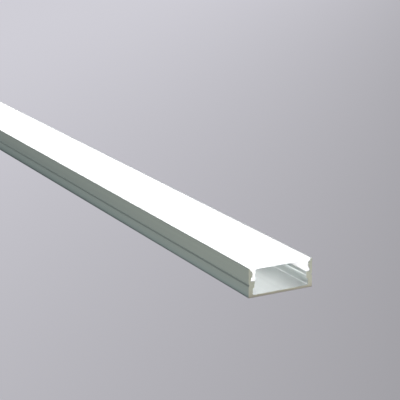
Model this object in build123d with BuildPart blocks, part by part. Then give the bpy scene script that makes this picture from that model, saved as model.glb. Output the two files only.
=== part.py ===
from build123d import *
import os

# Surface-mounted LED strip profile: an extruded aluminium channel with a snap-in opal cover.
# Both pieces are straight extrusions, cut off square. Millimetres throughout.
# X runs along the profile, Y across it and Z up. The origin is the middle of the underside.

# Whole profile
profile_length = 500.0
profile_width = 23.5
profile_height = 9.8  # from the underside to the top of the fitted cover

# Channel: base and plain lower walls
base_thickness = 0.8
wall_thickness = 1.5
outer_edge_radius = 0.25
floor_radius = 0.4

# Channel: thick ledge half way up each wall, which stops the cover's feet and backs the clip groove
ledge_thickness = 2.2  # measured, as the other wall thicknesses are, in from the outer face
ledge_height = 2.3
ledge_step = 0.08  # the lower half of the ledge stands back by this much
ledge_underside_radius = 0.4

# Channel: fine groove between the ledge's halves, with a flat roof and a sloping lower side
ledge_groove_depth = 0.38
ledge_groove_roof = 0.12  # above the ledge's middle
ledge_groove_slope = 0.36  # height of the lower side
ledge_groove_radius = 0.03

# Channel: notch that takes a foot of the cover, under a beaded lip that holds it down
notch_wall = 0.85
notch_height = 1.1
lip_thickness = 1.4
lip_height = 2.5
lip_underside_rise = 0.55
lip_top_fall = 0.45
bead_radius = 0.5

# Channel: thin upstand outside the cover's edge
upstand_thickness = 0.55
upstand_height = 0.8

# Channel: shallow groove along each outer face, where a mounting clip's tongue bites
clip_groove_width = 1.0
clip_groove_depth = 0.3

# Cover
cover_rise = 0.05  # the cover stands proud of the walls by this much
cover_clearance = 0.08  # between the cover and the channel, all round the snap fit
plate_thickness = 0.55
plate_edge_radius = 0.15
leg_root_thickness = 1.05
leg_tip_thickness = 0.95
foot_radius = 0.35
leg_root_radius = 0.2

# Broken edge of the extrusion die, wherever a corner has no radius of its own
edge_break = 0.1

# Distances from the middle plane to the channel's inner faces
half_width = profile_width / 2
wall_face = half_width - wall_thickness
ledge_face = half_width - ledge_thickness
notch_face = half_width - notch_wall
lip_face = half_width - lip_thickness
upstand_face = half_width - upstand_thickness

# Heights in the channel, stacked down from its top
wall_top = profile_height - cover_rise
lip_top = wall_top - upstand_height
lip_shoulder = lip_top - lip_top_fall
lip_underside = lip_top - lip_height
ledge_top = lip_underside - notch_height
ledge_middle = ledge_top - ledge_height / 2
ledge_underside = ledge_top - ledge_height
groove_roof = ledge_middle + ledge_groove_roof

# The cover follows the channel's faces, one clearance away
rim_face = upstand_face - cover_clearance
rim_underside = lip_top + cover_clearance
leg_face = lip_face - cover_clearance
leg_shoulder = lip_shoulder + cover_clearance
foot_face = notch_face - cover_clearance
foot_top = lip_underside - cover_clearance
foot_bottom = ledge_top + cover_clearance
plate_underside = profile_height - plate_thickness


def half_outline(corners):
    """Closed outline of half a section, from (across, up, corner radius) in order round it."""
    FilletPolyline(
        [(across, up) for across, up, radius in corners],
        radius=[radius for across, up, radius in corners],
        close=True,
    )


# Channel, from the middle of the floor up the inner face and down the outer one
with BuildPart() as channel:
    with BuildSketch(Plane.YZ.offset(-profile_length / 2)):
        with BuildLine():
            half_outline(
                [
                    (0, base_thickness, 0),
                    (wall_face, base_thickness, floor_radius),
                    (wall_face, ledge_underside, edge_break),
                    (ledge_face + ledge_step, ledge_underside, ledge_underside_radius),
                    (ledge_face + ledge_step, groove_roof - ledge_groove_slope, edge_break),
                    (ledge_face + ledge_groove_depth, groove_roof, ledge_groove_radius),
                    (ledge_face, groove_roof, edge_break),
                    (ledge_face, ledge_top, edge_break),
                    (notch_face, ledge_top, edge_break),
                    (notch_face, lip_underside, edge_break),
                    (lip_face, lip_underside + lip_underside_rise, bead_radius),
                    (lip_face, lip_shoulder, bead_radius),
                    (upstand_face, lip_top, edge_break),
                    (upstand_face, wall_top, edge_break),
                    (half_width, wall_top, outer_edge_radius),
                    (half_width, ledge_middle + clip_groove_width / 2, edge_break),
                    (half_width - clip_groove_depth, ledge_middle, edge_break),
                    (half_width, ledge_middle - clip_groove_width / 2, edge_break),
                    (half_width, 0, outer_edge_radius),
                    (0, 0, 0),
                ]
            )
        make_face()
        mirror(about=Plane.YZ)
    extrude(amount=profile_length)
channel.part.label = "channel"

# Cover, from the middle of its top out to the rim, down the leg and back along the underside
with BuildPart() as diffuser_cover:
    with BuildSketch(Plane.YZ.offset(-profile_length / 2)):
        with BuildLine():
            half_outline(
                [
                    (0, profile_height, 0),
                    (rim_face, profile_height, plate_edge_radius),
                    (rim_face, rim_underside, edge_break),
                    (leg_face, leg_shoulder, bead_radius),
                    (leg_face, foot_top + lip_underside_rise, bead_radius),
                    (foot_face, foot_top, edge_break),
                    (foot_face, foot_bottom, foot_radius),
                    (leg_face - leg_tip_thickness, foot_bottom, foot_radius),
                    (leg_face - leg_root_thickness, plate_underside, leg_root_radius),
                    (0, plate_underside, 0),
                ]
            )
        make_face()
        mirror(about=Plane.YZ)
    extrude(amount=profile_length)
diffuser_cover.part.label = "diffuser_cover"

os.makedirs("parts", exist_ok=True)
for piece in (channel, diffuser_cover):
    export_step(piece.part, f"parts/{piece.part.label}.step")
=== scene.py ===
"""Studio scene of an aluminium channel for a light strip, with its snap-in opal cover.

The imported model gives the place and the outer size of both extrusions. Each one is made again
here as a fine surface that stands for its solid: the section, with every corner rounded, is carried
along X and turned in at the sawn ends. Lengths are in metres, and a name that ends in _mm is in
millimetres.
"""

import logging
import math
from dataclasses import dataclass, field, replace
from enum import Enum
from typing import ClassVar

import bpy
import numpy as np
from mathutils import Matrix, Vector


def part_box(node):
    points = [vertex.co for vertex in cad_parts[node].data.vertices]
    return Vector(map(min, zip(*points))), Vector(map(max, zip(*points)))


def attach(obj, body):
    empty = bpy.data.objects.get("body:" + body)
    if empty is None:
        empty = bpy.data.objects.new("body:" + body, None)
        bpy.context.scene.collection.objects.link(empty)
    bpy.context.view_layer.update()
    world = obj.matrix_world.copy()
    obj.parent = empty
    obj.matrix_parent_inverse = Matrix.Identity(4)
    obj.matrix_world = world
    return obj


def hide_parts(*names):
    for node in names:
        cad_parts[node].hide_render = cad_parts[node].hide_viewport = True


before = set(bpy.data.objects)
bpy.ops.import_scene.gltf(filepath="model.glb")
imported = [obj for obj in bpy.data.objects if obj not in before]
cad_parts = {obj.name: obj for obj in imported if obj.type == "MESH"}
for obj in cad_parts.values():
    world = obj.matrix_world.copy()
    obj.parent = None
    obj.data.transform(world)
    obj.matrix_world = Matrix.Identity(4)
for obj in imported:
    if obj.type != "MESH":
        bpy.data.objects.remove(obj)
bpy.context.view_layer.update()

MM = 0.001

log = logging.getLogger("profile")

Colour = tuple[float, float, float]
Place = tuple[float, float, float]


class Body(Enum):
    """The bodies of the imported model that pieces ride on."""

    CHANNEL = "channel"
    COVER = "cover"


class Slot(Enum):
    """The record's material slots."""

    ANODISED = "anodised_aluminium"
    OPAL = "opal_plastic"


class Face(Enum):
    """Which of a piece's two finishes a face wears."""

    DRAWN = 0
    SAWN = 1


class ShaderSheet:
    """A material and its nodes, with short calls for what the finishes share."""

    OCTAVE_FALL: ClassVar[float] = 0.55
    NOISE_LOW: ClassVar[float] = 0.3
    NOISE_HIGH: ClassVar[float] = 0.7

    def __init__(self, name: str) -> None:
        """Makes an empty material.

        Args:
            name: The material's name.
        """
        self.material = bpy.data.materials.new(name)
        self.material.use_nodes = True
        self.tree = self.material.node_tree
        self.tree.nodes.clear()
        self.output = self.tree.nodes.new("ShaderNodeOutputMaterial")
        self.object_places = self.add("ShaderNodeTexCoord").outputs["Object"]

    def add(self, kind: str, **settings: object) -> bpy.types.Node:
        """Adds a node.

        Args:
            kind: The node's type.
            settings: Its properties, by name.

        Returns:
            The new node.
        """
        node = self.tree.nodes.new(kind)
        for name, value in settings.items():
            setattr(node, name, value)
        return node

    def plug(self, socket: bpy.types.NodeSocket, value: object) -> None:
        """Links an input to another node's output, or sets it to a value.

        Args:
            socket: The input.
            value: The output or the value.
        """
        if isinstance(value, bpy.types.NodeSocket):
            self.tree.links.new(value, socket)
        else:
            socket.default_value = value

    def feed(self, node: bpy.types.Node, **inputs: object) -> None:
        """Sets a node's inputs, each to a value or to another node's output.

        Args:
            node: The node.
            inputs: Values or sockets by input name, with _ for a space.
        """
        for name, value in inputs.items():
            self.plug(node.inputs[name.replace("_", " ")], value)

    def stretched(self, scale: Place, shift: Place = (0, 0, 0)) -> bpy.types.NodeSocket:
        """Object coordinates, moved by shift and then scaled along each axis.

        Args:
            scale: The scale along X, Y and Z.
            shift: What is added first, in metres.

        Returns:
            The mapped places.
        """
        moved = self.vector_maths("ADD", self.object_places, shift).outputs["Vector"]
        return self.vector_maths("MULTIPLY", moved, scale).outputs["Vector"]

    def vector_maths(
        self, operation: str, first: bpy.types.NodeSocket, second: Place
    ) -> bpy.types.Node:
        """An operation on a place and a fixed one.

        Args:
            operation: The node's operation.
            first: The place.
            second: The fixed place.

        Returns:
            The node.
        """
        node = self.add("ShaderNodeVectorMath", operation=operation)
        self.plug(node.inputs[0], first)
        self.plug(node.inputs[1], second)
        return node

    def split(self) -> bpy.types.Node:
        """Splits the object coordinates.

        Returns:
            The node that gives their X, Y and Z.
        """
        node = self.add("ShaderNodeSeparateXYZ")
        self.plug(node.inputs[0], self.object_places)
        return node

    def noise(
        self, places: bpy.types.NodeSocket, pitch_mm: float, detail: float = 2.0
    ) -> bpy.types.NodeSocket:
        """Smooth noise from 0 to 1.

        Args:
            places: The coordinates, in metres.
            pitch_mm: The size of its largest spots.
            detail: How many finer octaves it has.

        Returns:
            The noise's value.
        """
        node = self.add("ShaderNodeTexNoise", noise_dimensions="3D")
        self.feed(
            node,
            Vector=places,
            Scale=1 / (pitch_mm * MM),
            Detail=detail,
            Roughness=self.OCTAVE_FALL,
        )
        return node.outputs["Fac"]

    def ranged(self, value: bpy.types.NodeSocket, low: float, high: float) -> bpy.types.NodeSocket:
        """Stretches the middle of a noise, from NOISE_LOW to NOISE_HIGH, to low and high.

        Args:
            value: The noise.
            low: The result at NOISE_LOW.
            high: The result at NOISE_HIGH.

        Returns:
            The stretched value.
        """
        return self.mapped(value, self.NOISE_LOW, self.NOISE_HIGH, low, high)

    def mapped(
        self,
        value: bpy.types.NodeSocket,
        start: float,
        stop: float,
        low: float = 0.0,
        high: float = 1.0,
        course: str = "LINEAR",
    ) -> bpy.types.NodeSocket:
        """Turns a value that goes from start to stop into one from low to high, held beyond.

        Args:
            value: The value.
            start: Where the result is low.
            stop: Where the result is high.
            low: The result at start.
            high: The result at stop.
            course: LINEAR, or SMOOTHSTEP for one that starts and ends gently.

        Returns:
            The result.
        """
        node = self.add("ShaderNodeMapRange", clamp=True, interpolation_type=course)
        self.feed(node, Value=value, From_Min=start, From_Max=stop, To_Min=low, To_Max=high)
        return node.outputs["Result"]

    def maths(self, operation: str, first: object, second: object = 0.0) -> bpy.types.NodeSocket:
        """A sum, product or other operation on one or two numbers.

        Args:
            operation: The node's operation.
            first: A number or a socket.
            second: A number or a socket.

        Returns:
            The result.
        """
        node = self.add("ShaderNodeMath", operation=operation)
        self.plug(node.inputs[0], first)
        self.plug(node.inputs[1], second)
        return node.outputs["Value"]

    def blended(
        self, share: bpy.types.NodeSocket, low: object, high: object
    ) -> bpy.types.NodeSocket:
        """A mix of two colours, through the Mix node's colour sockets.

        Args:
            share: How much of the second, from 0 to 1.
            low: The first, a colour or a socket.
            high: The second, a colour or a socket.

        Returns:
            The mixed colour.
        """
        node = self.add("ShaderNodeMix", data_type="RGBA", clamp_factor=True)
        self.plug(node.inputs[0], share)
        for socket, value in zip(node.inputs[6:8], (low, high)):
            self.plug(socket, (*value, 1) if isinstance(value, tuple) else value)
        return node.outputs[2]

    def mixed(self, share: object, low: object, high: object) -> bpy.types.NodeSocket:
        """A mix of two numbers, through the Mix node's number sockets.

        Args:
            share: How much of the second, from 0 to 1, as a number or a socket.
            low: The first, a number or a socket.
            high: The second, a number or a socket.

        Returns:
            The mixed number.
        """
        node = self.add("ShaderNodeMix", data_type="FLOAT", clamp_factor=True)
        for socket, value in zip((node.inputs[0], *node.inputs[2:4]), (share, low, high)):
            self.plug(socket, value)
        return node.outputs[0]

    def bumped(
        self,
        height: bpy.types.NodeSocket,
        depth_mm: float,
        under: bpy.types.NodeSocket | None = None,
    ) -> bpy.types.NodeSocket:
        """Turns a height from 0 to 1 into a bent normal.

        Args:
            height: The height.
            depth_mm: How deep 1 is.
            under: A normal that is already bent, if there is one.

        Returns:
            The bent normal.
        """
        node = self.add("ShaderNodeBump")
        self.feed(node, Height=height, Distance=depth_mm * MM, Strength=1.0)
        if under is not None:
            self.feed(node, Normal=under)
        return node.outputs["Normal"]

    def principled(self, **inputs: object) -> bpy.types.Material:
        """Ends the sheet with one Principled shader.

        Args:
            inputs: Its inputs, as in feed.

        Returns:
            The finished material.
        """
        shader = self.add("ShaderNodeBsdfPrincipled")
        self.feed(shader, **inputs)
        return self.finished(shader)

    def finished(self, shader: bpy.types.Node) -> bpy.types.Material:
        """Puts a shader on the material's surface.

        Args:
            shader: The shader.

        Returns:
            The finished material.
        """
        self.plug(self.output.inputs["Surface"], shader.outputs[0])
        return self.material


@dataclass(frozen=True)
class DrawnAluminium:
    """Natural anodised aluminium as it leaves the die: satin, with fine lines along its length.

    The die leaves the narrow slopes in it smoother, and they carry a painted highlight: their
    colour is mixed toward a brighter tone.
    """

    light: Colour = (0.668, 0.70, 0.688)
    dark: Colour = (0.608, 0.64, 0.632)
    # The tone of worn edges, and also of the painted highlight on the narrow slopes and inner
    # corners.
    worn_edge_and_highlight: Colour = (0.74, 0.77, 0.76)
    wear: float = 0.5
    line_pitch_mm: float = 0.16
    line_depth_mm: float = 0.003
    band_pitch_mm: float = 1.8
    line_stretch: float = 0.004
    line_share: float = 0.4
    etch_pitch_mm: float = 0.07
    etch_depth_mm: float = 0.0012
    smooth: float = 0.50
    rough: float = 0.60
    burnished: float = 0.28

    def build(self) -> bpy.types.Material:
        """Makes the material.

        Returns:
            The material.
        """
        sheet = ShaderSheet("drawn_aluminium")
        along = sheet.stretched((self.line_stretch, 1, 1))
        lines = sheet.noise(along, self.line_pitch_mm)
        bands = sheet.noise(along, self.band_pitch_mm, detail=1)
        etch = sheet.noise(sheet.object_places, self.etch_pitch_mm, detail=1)
        tone = sheet.ranged(sheet.mixed(self.line_share, bands, lines), 0, 1)
        metal = sheet.blended(tone, self.dark, self.light)
        edge = sheet.add("ShaderNodeAttribute", attribute_name=Extrusion.EDGE).outputs["Fac"]
        polish_and_highlight = sheet.add("ShaderNodeAttribute", attribute_name=Extrusion.POLISH_AND_HIGHLIGHT).outputs["Fac"]
        worn = sheet.maths("MULTIPLY", edge, sheet.ranged(lines, 0, self.wear))
        satin = sheet.ranged(etch, self.smooth, self.rough)
        # Painted highlight: the colour goes toward the brighter edge tone on worn edges and, by the
        # polish share, on the narrow slopes and inner corners.
        return sheet.principled(
            Base_Color=sheet.blended(sheet.maths("MAXIMUM", worn, polish_and_highlight), metal, self.worn_edge_and_highlight),
            Metallic=1.0,
            Roughness=sheet.mixed(polish_and_highlight, satin, self.burnished),
            Normal=sheet.bumped(
                etch, self.etch_depth_mm, sheet.bumped(lines, self.line_depth_mm)
            ),
        )


@dataclass(frozen=True)
class SawnAluminium:
    """Bare aluminium of a sawn end: a little warmer, with the curved marks of the blade."""

    light: Colour = (0.885, 0.885, 0.79)
    dark: Colour = (0.785, 0.785, 0.69)
    blade_centre_mm: Place = (0.0, -70.0, 95.0)
    mark_pitch_mm: float = 0.22
    mark_depth_mm: float = 0.004
    mark_share: float = 0.35
    waver: float = 2.5
    waver_detail: float = 2.0
    waver_scale: float = 0.4
    grain_pitch_mm: float = 0.12
    smooth: float = 0.34
    rough: float = 0.5

    def build(self) -> bpy.types.Material:
        """Makes the material.

        The marks are wavering rings about the blade's centre. The node spaces its rings by 2 pi
        over 20 times its scale.

        Returns:
            The material.
        """
        sheet = ShaderSheet("sawn_aluminium")
        centre = tuple(-place * MM for place in self.blade_centre_mm)
        wave = sheet.add("ShaderNodeTexWave", wave_type="RINGS", rings_direction="X")
        sheet.feed(
            wave,
            Vector=sheet.stretched((1, 1, 1), centre),
            Scale=2 * math.pi / (20 * self.mark_pitch_mm * MM),
            Distortion=self.waver,
            Detail=self.waver_detail,
            Detail_Scale=self.waver_scale,
        )
        grain = sheet.noise(sheet.object_places, self.grain_pitch_mm)
        marked = sheet.mixed(self.mark_share, grain, wave.outputs["Fac"])
        return sheet.principled(
            Base_Color=sheet.blended(sheet.ranged(marked, 0, 1), self.dark, self.light),
            Metallic=1.0,
            Roughness=sheet.ranged(grain, self.smooth, self.rough),
            Normal=sheet.bumped(marked, self.mark_depth_mm),
        )


@dataclass(frozen=True)
class OpalPlastic:
    """Opal diffuser plastic: milky, with light scattered inside it, and a fine matt skin."""

    name: str = "opal_skin"
    light: Colour = (0.955, 0.958, 0.95)
    dark: Colour = (0.925, 0.93, 0.922)
    cloud_pitch_mm: float = 6.0
    cloud_stretch: float = 0.2
    grain_pitch_mm: float = 0.14
    grain_depth_mm: float = 0.0015
    line_pitch_mm: float = 0.5
    line_depth_mm: float = 0.001
    line_stretch: float = 0.004
    scatter_mm: float = 4.4
    refraction: float = 1.49
    smooth: float = 0.32
    rough: float = 0.44

    def build(self) -> bpy.types.Material:
        """Makes the material.

        Returns:
            The material.
        """
        sheet = ShaderSheet(self.name)
        along = sheet.stretched((self.line_stretch, 1, 1))
        lines = sheet.noise(along, self.line_pitch_mm)
        grain = sheet.noise(sheet.object_places, self.grain_pitch_mm, detail=1)
        cloud = sheet.noise(sheet.stretched((self.cloud_stretch, 1, 1)), self.cloud_pitch_mm)
        return sheet.principled(
            Base_Color=sheet.blended(sheet.ranged(cloud, 0, 1), self.dark, self.light),
            Roughness=sheet.ranged(grain, self.smooth, self.rough),
            IOR=self.refraction,
            Subsurface_Weight=1.0,
            Subsurface_Radius=(1.0, 1.0, 1.0),
            Subsurface_Scale=self.scatter_mm * MM,
            Normal=sheet.bumped(
                grain, self.grain_depth_mm, sheet.bumped(lines, self.line_depth_mm)
            ),
        )


@dataclass(frozen=True)
class Corner:
    """A corner of a section, in millimetres: its place across and up, and its radius.

    The last two say, from 0 to 1, how far the arc and the flat after it are smoothed and carry a
    painted highlight.
    """

    across: float
    up: float
    radius: float
    arc_polish_and_highlight: float = 0.0
    flat_polish_and_highlight: float = 0.0


@dataclass(frozen=True)
class Outline:
    """A rounded, closed outline, anticlockwise.

    It holds its points and outward normals, how far each point is an edge and how far it is
    smoothed and carries a painted highlight, from 0 to 1, the length run before each point, and the
    whole length.
    """

    points: np.ndarray
    normals: np.ndarray
    edge: np.ndarray
    polish_and_highlight: np.ndarray
    girth: np.ndarray
    whole: float


def both_halves(right: list[Corner]) -> list[Corner]:
    """Mirrors half a section about the middle plane.

    Args:
        right: The right half's corners, anticlockwise from the lower middle to the upper one.

    Returns:
        The whole section's corners, anticlockwise.
    """
    before = right[-1:] + right[:-1]
    left = [
        replace(corner, across=-corner.across, flat_polish_and_highlight=previous.flat_polish_and_highlight)
        for previous, corner in zip(before, right)
    ]
    return right + left[::-1]


def ring_faces(number: np.ndarray) -> np.ndarray:
    """The faces between rings of vertices.

    Each joins a vertex, the next one of its ring, and the same two of the next ring. The last
    vertex of a ring is followed by its first.

    Args:
        number: The vertices' numbers, a row to a ring.

    Returns:
        The faces, four numbers each.
    """
    after = np.roll(number, -1, axis=1)
    return np.stack([number[:-1], after[:-1], after[1:], number[1:]], axis=-1).reshape(-1, 4)


def rounded(corners: list[Corner], steps: int) -> Outline:
    """Rounds each corner of a closed outline.

    Where the outline turns by an angle a at a corner of radius r, an arc starts r tan(|a| / 2)
    before the corner. For each share t from 0 to 1, the heading is the one it arrives with plus
    t a, the normal is that heading turned right, and the point is the arc's centre plus r times the
    normal, or minus it where the outline turns right. Where it turns left, a point is an edge by
    sin (pi t) times a as a share of 90 degrees, at most 1. Its share of polish and painted
    highlight is the arc's times sin (pi t), plus a mix by t of the two flats' beside it.

    Args:
        corners: The corners, anticlockwise.
        steps: How many facets each arc has.

    Returns:
        The outline, in metres.
    """
    table = np.array([(corner.across, corner.up, corner.radius) for corner in corners]) * MM
    place, radius = table[:, :2], table[:, 2]
    polish_and_highlight_shares = np.array([(corner.arc_polish_and_highlight, corner.flat_polish_and_highlight) for corner in corners])
    arc_polish_and_highlight, flat_polish_and_highlight = polish_and_highlight_shares.T[:, :, None]
    run = np.roll(place, -1, axis=0) - place
    leave = np.arctan2(run[:, 1], run[:, 0])
    arrive = np.roll(leave, 1)
    turn = (leave - arrive + np.pi) % (2 * np.pi) - np.pi
    share = np.linspace(0, 1, steps + 1)
    heading = arrive[:, None] + turn[:, None] * share
    normals = np.stack([np.sin(heading), -np.cos(heading)], axis=-1)
    reach = (radius * np.tan(np.abs(turn) / 2))[:, None]
    start = place - reach * np.stack([np.cos(arrive), np.sin(arrive)], axis=-1)
    signed = (np.sign(turn) * radius)[:, None]
    centre = start - signed * normals[:, 0]
    points = centre[:, None] + signed[:, None] * normals
    outward = np.where(turn > 0, np.minimum(1, np.abs(turn) / (np.pi / 2)), 0)
    bow = np.sin(np.pi * share)
    edge = outward[:, None] * bow
    polish_and_highlight = arc_polish_and_highlight * bow + np.roll(flat_polish_and_highlight, 1, axis=0) * (1 - share) + flat_polish_and_highlight * share
    points, normals = points.reshape(-1, 2), normals.reshape(-1, 2)
    lengths = np.linalg.norm(np.roll(points, -1, axis=0) - points, axis=1)
    girth = np.concatenate([[0], np.cumsum(lengths)])
    return Outline(points, normals, edge.ravel(), polish_and_highlight.ravel(), girth[:-1], float(girth[-1]))


@dataclass
class Extrusion:
    """A section carried along X between two sawn ends, whose rims turn in by a small radius."""

    name: str
    section: list[Corner]
    low_x: float
    high_x: float
    rim_radius_mm: float = 0.03
    arc_steps: int = 8
    rim_steps: int = 3
    spans: int = 24

    EDGE: ClassVar[str] = "edge"
    POLISH_AND_HIGHLIGHT: ClassVar[str] = "polish_and_highlight"
    MAP: ClassVar[str] = "OFBake"
    SHEET_TOP: ClassVar[float] = 0.78
    END_FLOOR: ClassVar[float] = 0.80
    END_MARGIN: ClassVar[float] = 0.01

    def stations(self) -> tuple[np.ndarray, np.ndarray, np.ndarray]:
        """Where the outline stands along X.

        At each end the rim, of radius r, turns through t from 0 to 90 degrees: it moves out by
        r sin t, and the outline is drawn in by r (1 - cos t). Between the ends the outlines are
        evenly spaced.

        Returns:
            Each station's X, how far its outline is drawn in, and its t, negative at the low end.
        """
        rim = self.rim_radius_mm * MM
        turn = np.linspace(0, np.pi / 2, self.rim_steps + 1)
        middle = np.linspace(self.low_x + rim, self.high_x - rim, self.spans + 1)[1:-1]
        low = self.low_x + rim - rim * np.sin(turn[::-1])
        high = self.high_x - rim + rim * np.sin(turn)
        x = np.concatenate([low, middle, high])
        tilt = np.concatenate([-turn[::-1], np.zeros(len(middle)), turn])
        return x, rim * (1 - np.cos(tilt)), tilt

    def mesh(self) -> bpy.types.Mesh:
        """Makes the surface on a grid of stations by outline points.

        A vertex is the station's X and the outline's point less its normal times how far the
        station draws it in. Its normal is the outline's normal times cos t, and sin t along X. The
        mesh also gets the edge and shine of each point, the finish of each face and its map.

        Returns:
            The mesh.
        """
        outline = rounded(self.section, self.arc_steps)
        x, inset, tilt = self.stations()
        rows, columns = len(x), len(outline.points)
        flat = outline.points - outline.normals * inset[:, None, None]
        along = np.broadcast_to(x[:, None, None], (rows, columns, 1))
        places = np.concatenate([along, flat], axis=2)
        lean = outline.normals * np.cos(tilt)[:, None, None]
        ahead = np.broadcast_to(np.sin(tilt)[:, None, None], (rows, columns, 1))
        normals = np.concatenate([ahead, lean], axis=2)

        number = np.arange(rows * columns).reshape(rows, columns)
        caps = [number[0, ::-1].tolist(), number[-1].tolist()]

        mesh = bpy.data.meshes.new(self.name)
        mesh.from_pydata(places.reshape(-1, 3), [], ring_faces(number).tolist() + caps)
        mesh.shade_smooth()
        mesh.normals_split_custom_set_from_vertices(normals.reshape(-1, 3))
        for name, values in ((self.EDGE, outline.edge), (self.POLISH_AND_HIGHLIGHT, outline.polish_and_highlight)):
            layer = mesh.attributes.new(name, "FLOAT", "POINT")
            layer.data.foreach_set("value", np.tile(values, rows).astype(np.float32))
        sawn = np.abs(tilt[:-1] + tilt[1:]) > 0
        wears = np.repeat(np.where(sawn, Face.SAWN.value, Face.DRAWN.value), columns)
        wears = np.concatenate([wears, [Face.SAWN.value] * len(caps)]).astype(np.int32)
        mesh.polygons.foreach_set("material_index", wears)
        self.lay_out(mesh, outline, x, caps)
        mesh.update()
        return mesh

    def lay_out(
        self, mesh: bpy.types.Mesh, outline: Outline, x: np.ndarray, caps: list[list[int]]
    ) -> None:
        """Lays the surface out flat: the drawn sheet below, and the two ends side by side above.

        On the sheet, U is the share of the length and V the share of the girth, up to SHEET_TOP.

        Args:
            mesh: The mesh.
            outline: Its outline.
            x: The stations along X.
            caps: The two end faces' vertices.
        """
        along = (x - self.low_x) / (self.high_x - self.low_x)
        before = outline.girth / outline.whole * self.SHEET_TOP
        beyond = np.append(before[1:], self.SHEET_TOP)
        u0, v0 = np.meshgrid(along[:-1], before, indexing="ij")
        u1, v1 = np.meshgrid(along[1:], beyond, indexing="ij")
        sheet = np.stack([u0, v0, u0, v1, u1, v1, u1, v0], axis=-1).reshape(-1, 2)
        low, high = outline.points.min(axis=0), outline.points.max(axis=0)
        spread = (outline.points - low) / (high - low)
        room = np.array([0.5 - 2 * self.END_MARGIN, 1 - self.END_FLOOR - self.END_MARGIN])
        ends = [
            spread[np.array(cap) % len(outline.points)] * room
            + [self.END_MARGIN + 0.5 * side, self.END_FLOOR]
            for side, cap in enumerate(caps)
        ]
        layer = mesh.uv_layers.new(name=self.MAP)
        layer.uv.foreach_set("vector", np.concatenate([sheet, *ends]).astype(np.float32).ravel())

    def dressed(self, drawn: bpy.types.Material, sawn: bpy.types.Material) -> bpy.types.Object:
        """Makes the piece and gives it its two finishes.

        Args:
            drawn: The finish along the length.
            sawn: The finish of the ends.

        Returns:
            The piece, at the origin.
        """
        mesh = self.mesh()
        mesh.materials.append(drawn)
        mesh.materials.append(sawn)
        piece = bpy.data.objects.new(self.name, mesh)
        bpy.context.scene.collection.objects.link(piece)
        return piece


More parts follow.
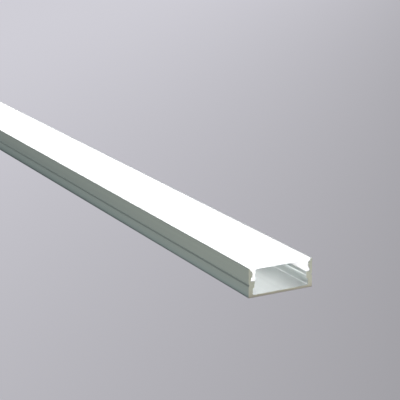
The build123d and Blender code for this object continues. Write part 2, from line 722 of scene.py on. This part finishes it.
@dataclass
class Channel:
    """The extruded channel.

    Its fields are the section's sizes in millimetres and, from 0 to 1, how far the side of the
    ledge's groove, the ledge's lower half and the two inner corners are smoothed and carry a
    painted highlight.
    """

    node: str = "channel"
    base_thickness: float = 0.8
    wall_thickness: float = 1.5
    outer_edge_radius: float = 0.25
    floor_radius: float = 0.4
    ledge_thickness: float = 2.2
    ledge_height: float = 2.3
    ledge_step: float = 0.08
    ledge_underside_radius: float = 0.4
    ledge_groove_depth: float = 0.38
    ledge_groove_roof: float = 0.12
    ledge_groove_slope: float = 0.36
    ledge_groove_radius: float = 0.03
    notch_wall: float = 0.85
    notch_height: float = 1.1
    lip_thickness: float = 1.4
    lip_height: float = 2.5
    lip_underside_rise: float = 0.55
    lip_top_fall: float = 0.45
    bead_radius: float = 0.5
    upstand_thickness: float = 0.55
    upstand_height: float = 0.8
    clip_groove_width: float = 1.0
    clip_groove_depth: float = 0.3
    edge_break: float = 0.1
    # Shares of smoother metal and of painted highlight on the groove's side, the ledge's lower half
    # and the inner corners.
    groove_polish_and_highlight: float = 1.0
    ledge_polish_and_highlight: float = 0.7
    corner_polish_and_highlight: float = 0.5
    box: tuple[Vector, Vector] = field(init=False)

    def __post_init__(self) -> None:
        """Takes the channel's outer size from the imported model."""
        self.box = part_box(self.node)

    @property
    def half_width(self) -> float:
        """Half the channel's width, in millimetres."""
        return self.box[1].y / MM

    @property
    def wall_top(self) -> float:
        """The channel's height, in millimetres."""
        return self.box[1].z / MM

    @property
    def lip_top(self) -> float:
        """The height of the shelf inside the upstand."""
        return self.wall_top - self.upstand_height

    @property
    def lip_underside(self) -> float:
        """The height of the top of the notch."""
        return self.lip_top - self.lip_height

    @property
    def ledge_top(self) -> float:
        """The height that the cover's feet stand over."""
        return self.lip_underside - self.notch_height

    @property
    def ledge_middle(self) -> float:
        """The height of the ledge's middle and of the clip groove's bottom."""
        return self.ledge_top - self.ledge_height / 2

    def inward(self, thickness: float) -> float:
        """The place of a face that lies this far in from the outer one."""
        return self.half_width - thickness

    def section(self) -> list[Corner]:
        """The whole section's corners, anticlockwise.

        Returns:
            The corners.
        """
        edge = self.edge_break
        upstand = self.inward(self.upstand_thickness)
        lip = self.inward(self.lip_thickness)
        notch = self.inward(self.notch_wall)
        ledge = self.inward(self.ledge_thickness)
        step = ledge + self.ledge_step
        wall = self.inward(self.wall_thickness)
        ledge_underside = self.ledge_top - self.ledge_height
        groove = ledge + self.ledge_groove_depth
        groove_roof = self.ledge_middle + self.ledge_groove_roof
        groove_foot = groove_roof - self.ledge_groove_slope
        half_clip = self.clip_groove_width / 2
        return both_halves([
            Corner(self.half_width, 0, self.outer_edge_radius),
            Corner(self.half_width, self.ledge_middle - half_clip, edge),
            Corner(self.inward(self.clip_groove_depth), self.ledge_middle, edge),
            Corner(self.half_width, self.ledge_middle + half_clip, edge),
            Corner(self.half_width, self.wall_top, self.outer_edge_radius),
            Corner(upstand, self.wall_top, edge),
            Corner(upstand, self.lip_top, edge),
            Corner(lip, self.lip_top - self.lip_top_fall, self.bead_radius),
            Corner(lip, self.lip_underside + self.lip_underside_rise, self.bead_radius),
            Corner(notch, self.lip_underside, edge),
            Corner(notch, self.ledge_top, edge),
            Corner(ledge, self.ledge_top, edge),
            Corner(ledge, groove_roof, edge),
            Corner(groove, groove_roof, self.ledge_groove_radius, flat_polish_and_highlight=self.groove_polish_and_highlight),
            Corner(step, groove_foot, edge, flat_polish_and_highlight=self.ledge_polish_and_highlight),
            Corner(step, ledge_underside, self.ledge_underside_radius, self.corner_polish_and_highlight),
            Corner(wall, ledge_underside, edge),
            Corner(wall, self.base_thickness, self.floor_radius, self.corner_polish_and_highlight),
        ])

    def build(self) -> bpy.types.Object:
        """Makes the channel, which rides on its own body and stands for its solid.

        Returns:
            The piece.
        """
        low, high = self.box
        extrusion = Extrusion("channel_extrusion", self.section(), low.x, high.x)
        piece = extrusion.dressed(DrawnAluminium().build(), SawnAluminium().build())
        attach(piece, Body.CHANNEL.value)
        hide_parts(self.node)
        return piece


@dataclass
class DiffuserCover:
    """The extruded opal cover, which follows the channel's faces a clearance away. Millimetres."""

    channel: Channel
    node: str = "diffuser_cover"
    clearance: float = 0.08
    plate_thickness: float = 0.55
    plate_edge_radius: float = 0.15
    leg_root_thickness: float = 1.05
    leg_tip_thickness: float = 0.95
    foot_radius: float = 0.35
    leg_root_radius: float = 0.2
    box: tuple[Vector, Vector] = field(init=False)

    def __post_init__(self) -> None:
        """Takes the cover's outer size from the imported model."""
        self.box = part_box(self.node)

    def section(self) -> list[Corner]:
        """The whole section's corners, anticlockwise.

        Returns:
            The corners.
        """
        channel = self.channel
        top = self.box[1].z / MM
        rim = channel.inward(channel.upstand_thickness) - self.clearance
        rim_underside = channel.lip_top + self.clearance
        leg = channel.inward(channel.lip_thickness) - self.clearance
        foot = channel.inward(channel.notch_wall) - self.clearance
        foot_top = channel.lip_underside - self.clearance
        foot_bottom = channel.ledge_top + self.clearance
        underside = top - self.plate_thickness
        return both_halves([
            Corner(leg - self.leg_root_thickness, underside, self.leg_root_radius),
            Corner(leg - self.leg_tip_thickness, foot_bottom, self.foot_radius),
            Corner(foot, foot_bottom, self.foot_radius),
            Corner(foot, foot_top, channel.edge_break),
            Corner(leg, foot_top + channel.lip_underside_rise, channel.bead_radius),
            Corner(leg, rim_underside - channel.lip_top_fall, channel.bead_radius),
            Corner(rim, rim_underside, channel.edge_break),
            Corner(rim, top, self.plate_edge_radius),
        ])

    def build(self) -> bpy.types.Object:
        """Makes the cover, which rides on its own body and stands for its solid.

        Returns:
            The piece.
        """
        low, high = self.box
        extrusion = Extrusion("cover_extrusion", self.section(), low.x, high.x)
        sawn = OpalPlastic(
            "opal_sawn", grain_pitch_mm=0.2, grain_depth_mm=0.004, smooth=0.5, rough=0.62
        )
        piece = extrusion.dressed(OpalPlastic().build(), sawn.build())
        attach(piece, Body.COVER.value)
        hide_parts(self.node)
        return piece


@dataclass(frozen=True)
class Footprint:
    """The profile's place on the floor, a rectangle about the origin, by half of each side."""

    half_length: float
    half_width: float

    def outside(
        self, sheet: ShaderSheet, split: bpy.types.Node
    ) -> tuple[bpy.types.NodeSocket, bpy.types.NodeSocket]:
        """How far a place is outside: |x| or |y| less half the footprint along it.

        Args:
            sheet: The material's sheet.
            split: The node that gives the place's parts.

        Returns:
            The distance along X and along Y, in metres and negative inside.
        """
        return tuple(
            sheet.maths("SUBTRACT", sheet.maths("ABSOLUTE", split.outputs[axis]), half)
            for axis, half in (("X", self.half_length), ("Y", self.half_width))
        )


@dataclass(frozen=True)
class StudioFloor:
    """A plain pale floor whose far rim curves up into a wall, so that no view shows a horizon.

    Its tone is a painted fall-off of light in one direction, as under a lamp off to one side, and
    is even far away. A painted contact shadow lies along the profile's foot.
    """

    footprint: Footprint
    flat_radius: float = 2.6
    bend_radius: float = 0.8
    wall_height: float = 2.0
    drop: float = 0.00002
    bend_steps: int = 24
    sides: int = 96
    bright: Colour = (0.642, 0.634, 0.691)
    shade: Colour = (0.360, 0.3555, 0.380)
    heading_deg: float = 47.8
    bright_at_mm: float = -170.0
    shade_at_mm: float = 220.0
    fall_power: float = 2.0
    far: Colour = (0.505, 0.499, 0.54)
    fade_centre: Place = (-0.06, 0.15, 0.0)
    near_radius: float = 0.6
    far_radius: float = 1.8
    own_light: float = 0.98
    paleness: float = 0.03
    # A painted contact shadow along the profile's foot: its width and its tone.
    contact_shadow_mm: float = 0.12
    contact_shadow: Colour = (0.22, 0.22, 0.235)

    def mesh(self) -> bpy.types.Mesh:
        """Turns a profile about the upright axis, facing inward.

        The profile is a bend from 0 to 90 degrees: at the angle t it is out by the flat radius plus
        the bend's times sin t, and up by the bend's times (1 - cos t). A last point stands above
        its end. Point k of each ring is at k shares of the full turn, and the inner ring is closed.

        Returns:
            The mesh.
        """
        t = np.linspace(0, np.pi / 2, self.bend_steps + 1)
        out = np.append(self.bend_radius * np.sin(t), self.bend_radius) + self.flat_radius
        up = np.append(self.bend_radius * (1 - np.cos(t)), self.bend_radius + self.wall_height)
        turn = np.linspace(0, 2 * np.pi, self.sides, endpoint=False)
        places = np.stack([
            out[:, None] * np.cos(turn),
            out[:, None] * np.sin(turn),
            np.broadcast_to(up[:, None] - self.drop, (len(up), self.sides)),
        ], axis=-1)
        number = np.arange(len(up) * self.sides).reshape(len(up), self.sides)
        mesh = bpy.data.meshes.new("floor")
        mesh.from_pydata(
            places.reshape(-1, 3), [], ring_faces(number).tolist() + [number[0].tolist()]
        )
        mesh.shade_smooth()
        return mesh

    def build(self) -> bpy.types.Object:
        """Makes the floor. Metal mirrors the reflection card in its place.

        Returns:
            The floor.
        """
        mesh = self.mesh()
        mesh.materials.append(self.material())
        floor = bpy.data.objects.new("floor", mesh)
        floor.visible_glossy = False
        bpy.context.scene.collection.objects.link(floor)
        return floor

    def material(self) -> bpy.types.Material:
        """Makes the floor's material.

        Most of it is the floor's own light, so that the piece on it casts only a faint shadow.

        Returns:
            The material.
        """
        sheet = ShaderSheet("studio_floor")
        fall = self.fall(sheet)
        light = sheet.add("ShaderNodeEmission")
        sheet.feed(light, Color=self.tone(sheet, fall), Strength=self.own_light)
        skin = sheet.add("ShaderNodeBsdfDiffuse")
        sheet.feed(skin, Color=sheet.blended(fall, *self.skin_tones()))
        both = sheet.add("ShaderNodeAddShader")
        sheet.plug(both.inputs[0], light.outputs[0])
        sheet.plug(both.inputs[1], skin.outputs[0])
        return sheet.finished(both)

    def fall(self, sheet: ShaderSheet) -> bpy.types.NodeSocket:
        """How far the painted light has fallen off, from 0 to 1.

        It is a power of how far a place has come along the heading, as a share of the way from
        where the fall starts to where it ends.

        Args:
            sheet: The material's sheet.

        Returns:
            The share.
        """
        heading = math.radians(self.heading_deg)
        ahead = (math.cos(heading), math.sin(heading), 0)
        way = sheet.vector_maths("DOT_PRODUCT", sheet.object_places, ahead).outputs["Value"]
        come = sheet.mapped(way, self.bright_at_mm * MM, self.shade_at_mm * MM)
        return sheet.maths("POWER", come, self.fall_power)

    def tone(self, sheet: ShaderSheet, fall: bpy.types.NodeSocket) -> bpy.types.NodeSocket:
        """The floor's tone, a mix of bright and shade by the fall.

        From the near to the far radius about the fade's centre it turns into the far tone. Close to
        the profile's foot it darkens to a painted contact shadow, by how far a place is outside the
        footprint: the larger of the two distances.

        Args:
            sheet: The material's sheet.
            fall: How far the tone has fallen.

        Returns:
            The tone.
        """
        reach = sheet.vector_maths("DISTANCE", sheet.object_places, self.fade_centre)
        far = sheet.mapped(
            reach.outputs["Value"], self.near_radius, self.far_radius, course="SMOOTHSTEP"
        )
        open_tone = sheet.blended(far, sheet.blended(fall, self.bright, self.shade), self.far)
        outside = sheet.maths("MAXIMUM", *self.footprint.outside(sheet, sheet.split()))
        clear = sheet.mapped(outside, 0.0, self.contact_shadow_mm * MM, course="SMOOTHSTEP")
        # Painted contact shadow where the floor meets the profile's foot.
        return sheet.blended(clear, self.contact_shadow, open_tone)

    def skin_tones(self) -> tuple[Colour, Colour]:
        """How much of the lamps' light the floor sends back, at its bright and its shaded end."""
        tones = (self.bright, self.shade)
        return tuple(tuple(self.paleness * part for part in tone) for tone in tones)


@dataclass(frozen=True)
class ReflectionCard:
    """A toned card on the floor, which shapes what metal mirrors. Only reflections show it.

    Its tones are painted light and shade for the metal to mirror, given by the distance from the
    profile's footprint, beside it and beyond its ends. Next to the footprint they are dark, a
    painted contact shadow. Beside it they lie wider apart toward the far end, as the profile's own
    shadow does, and are darker there. Beyond the ends they are brighter toward positive Y.
    """

    footprint: Footprint
    half_size: float = 0.8
    rise_mm: float = 0.05
    # The first, dark stop of each is a painted contact shadow, which the metal's foot and ends
    # mirror.
    beside: tuple[tuple[float, Colour], ...] = (
        (0.0, (0.0, 0.02, 0.025)),
        (1.2, (0.395, 0.475, 0.47)),
        (3.0, (0.40, 0.445, 0.43)),
        (8.0, (0.43, 0.465, 0.43)),
        (30.0, (0.54, 0.56, 0.49)),
    )
    beyond: tuple[tuple[float, Colour], ...] = (
        (0.0, (0.31, 0.28, 0.25)),
        (3.0, (0.50, 0.49, 0.45)),
        (6.5, (0.50, 0.51, 0.475)),
        (15.0, (0.46, 0.475, 0.45)),
        (30.0, (0.39, 0.405, 0.385)),
    )
    reach_mm: float = 30.0
    wide: float = 2.2
    narrow: float = 0.8
    wide_x_mm: float = 30.0
    narrow_x_mm: float = 200.0
    across_gain: float = 1.25
    across_mm: float = 12.0
    far_tone: float = 0.75
    near_x_mm: float = 250.0
    far_x_mm: float = -50.0

    def build(self) -> bpy.types.Object:
        """Makes the card.

        Returns:
            The card.
        """
        side = np.array([-self.half_size, self.half_size])
        x, y = np.meshgrid(side, side)
        places = np.stack([x, y, np.full_like(x, self.rise_mm * MM)], axis=-1).reshape(-1, 3)
        mesh = bpy.data.meshes.new("reflection_card")
        mesh.from_pydata(places, [], [(0, 1, 3, 2)])
        mesh.materials.append(self.material())
        card = bpy.data.objects.new("reflection_card", mesh)
        card.visible_camera = False
        card.visible_diffuse = False
        card.visible_shadow = False
        card.visible_transmission = False
        bpy.context.scene.collection.objects.link(card)
        return card

    def ramp(
        self,
        sheet: ShaderSheet,
        distance: bpy.types.NodeSocket,
        stops: tuple[tuple[float, Colour], ...],
    ) -> bpy.types.NodeSocket:
        """A tone by the distance outside the footprint.

        Args:
            sheet: The material's sheet.
            distance: The distance, in metres.
            stops: Distances in millimetres, each with its tone.

        Returns:
            The tone.
        """
        node = sheet.add("ShaderNodeValToRGB")
        sheet.feed(node, Fac=sheet.maths("DIVIDE", distance, self.reach_mm * MM))
        elements = node.color_ramp.elements
        while len(elements) < len(stops):
            elements.new(0.5)
        for element, (place_mm, tone) in zip(elements, stops):
            element.position = place_mm / self.reach_mm
            element.color = (*tone, 1)
        return node.outputs["Color"]

    def material(self) -> bpy.types.Material:
        """Makes the card's material.

        Returns:
            The material.
        """
        sheet = ShaderSheet("reflection_card")
        split = sheet.split()
        x, y = split.outputs["X"], split.outputs["Y"]
        endways, sideways = self.footprint.outside(sheet, split)
        spread = sheet.mapped(
            x, self.wide_x_mm * MM, self.narrow_x_mm * MM, self.wide, self.narrow
        )
        beside = self.ramp(sheet, sheet.maths("DIVIDE", sideways, spread), self.beside)
        beyond = self.ramp(sheet, endways, self.beyond)
        past_end = sheet.maths("GREATER_THAN", endways)
        # Painted shade toward the far end beside the profile, and painted light toward positive Y
        # past its ends.
        along = sheet.mapped(x, self.far_x_mm * MM, self.near_x_mm * MM, self.far_tone)
        across = sheet.mapped(
            y, -self.across_mm * MM, self.across_mm * MM, 1.0, self.across_gain
        )
        light = sheet.add("ShaderNodeEmission")
        sheet.feed(
            light,
            Color=sheet.blended(past_end, beside, beyond),
            Strength=sheet.mixed(past_end, along, across),
        )
        return sheet.finished(light)


@dataclass(frozen=True)
class SoftBox:
    """A square lamp with a soft, even face, which isn't seen by the camera."""

    name: str
    place: Place
    aim: Place
    side: float
    watts: float
    mirrored: bool = True

    def build(self) -> bpy.types.Object:
        """Makes the lamp.

        Returns:
            The lamp.
        """
        light = bpy.data.lights.new(self.name, "AREA")
        light.shape = "SQUARE"
        light.size = self.side
        light.energy = self.watts
        lamp = bpy.data.objects.new(self.name, light)
        lamp.location = self.place
        away = Vector(self.place) - Vector(self.aim)
        lamp.rotation_euler = away.to_track_quat("Z", "Y").to_euler()
        lamp.visible_camera = False
        lamp.visible_glossy = self.mirrored
        bpy.context.scene.collection.objects.link(lamp)
        return lamp


@dataclass(frozen=True)
class Studio:
    """The lamps, the air's light and the picture's tone curve. The air is darkest at the horizon.

    The air's tone turns from low to high between two heights, each the sine of an elevation.
    """

    low: Colour = (0.145, 0.172, 0.166)
    high: Colour = (0.60, 0.60, 0.62)
    low_at: float = 0.50
    high_at: float = 0.90
    lamps: tuple[SoftBox, ...] = (
        SoftBox(
            "overhead",
            place=(0.0, 0.0, 1.3),
            aim=(0.0, 0.0, 0.0),
            side=1.5,
            watts=46.0,
            mirrored=False,
        ),
        SoftBox(
            "front_fill",
            place=(0.828, -0.595, 0.175),
            aim=(0.25, 0.0, 0.005),
            side=0.4,
            watts=19.5,
            mirrored=False,
        ),
        SoftBox(
            "back_glow",
            place=(-1.37, 0.71, 0.424),
            aim=(0.1, 0.0, 0.005),
            side=1.0,
            watts=11.0,
        ),
    )

    def build(self) -> None:
        """Lights the scene.

        The air's two tones go in through the Mix node's colour sockets. The plain tone curve lets a
        bright white cover go fully white.
        """
        scene = bpy.context.scene
        world = scene.world or bpy.data.worlds.new("studio_air")
        scene.world = world
        world.use_nodes = True
        nodes, links = world.node_tree.nodes, world.node_tree.links
        split = nodes.new("ShaderNodeSeparateXYZ")
        links.new(nodes.new("ShaderNodeTexCoord").outputs["Generated"], split.inputs[0])
        height = nodes.new("ShaderNodeMapRange")
        height.inputs["From Min"].default_value = self.low_at
        height.inputs["From Max"].default_value = self.high_at
        links.new(split.outputs["Z"], height.inputs["Value"])
        tone = nodes.new("ShaderNodeMix")
        tone.data_type = "RGBA"
        links.new(height.outputs["Result"], tone.inputs[0])
        tone.inputs[6].default_value = (*self.low, 1)
        tone.inputs[7].default_value = (*self.high, 1)
        links.new(tone.outputs[2], nodes["Background"].inputs["Color"])
        for lamp in self.lamps:
            lamp.build()
        scene.view_settings.view_transform = "Standard"
        scene.view_settings.look = "None"


@dataclass(frozen=True)
class StudioCamera:
    """The camera, where the photograph's was. Its lens is in pixels of the 400-pixel picture."""

    place_mm: Place = (582.8, -201.4, 137.7)
    azimuth_deg: float = 62.57
    elevation_deg: float = 15.39
    lean_deg: float = 0.604
    lens_px: float = 1285.9
    picture_px: float = 400.0
    sensor_mm: float = 36.0
    clip_start: float = 0.01
    clip_end: float = 50.0

    def build(self) -> bpy.types.Object:
        """Makes the camera.

        It looks back along its azimuth and down by its elevation, turned about its line of sight by
        the lean, so that upright things lean a little to the left.

        Returns:
            The camera.
        """
        azimuth = math.radians(self.azimuth_deg)
        elevation = math.radians(self.elevation_deg)
        lean = math.radians(self.lean_deg)
        back = Vector((
            math.sin(azimuth) * math.cos(elevation),
            -math.cos(azimuth) * math.cos(elevation),
            math.sin(elevation),
        ))
        level = Vector((0, 0, 1)).cross(back).normalized()
        upright = back.cross(level)
        right = level * math.cos(lean) - upright * math.sin(lean)
        up = upright * math.cos(lean) + level * math.sin(lean)
        data = bpy.data.cameras.new("camera")
        data.sensor_width = self.sensor_mm
        data.lens = self.lens_px / self.picture_px * self.sensor_mm
        data.clip_start = self.clip_start
        data.clip_end = self.clip_end
        camera = bpy.data.objects.new("camera", data)
        turned = Matrix((right, up, back)).transposed().to_4x4()
        camera.matrix_world = Matrix.Translation(Vector(self.place_mm) * MM) @ turned
        bpy.context.scene.collection.objects.link(camera)
        bpy.context.scene.camera = camera
        return camera


def main() -> None:
    logging.basicConfig(level=logging.INFO, format="%(name)s: %(message)s")
    StudioCamera().build()
    Studio().build()
    channel = Channel()
    footprint = Footprint(*channel.box[1].xy)
    StudioFloor(footprint).build()
    ReflectionCard(footprint).build()
    for piece in (channel.build(), DiffuserCover(channel).build()):
        log.info("%s: %d faces", piece.name, len(piece.data.polygons))


if __name__ == "__main__":
    main()
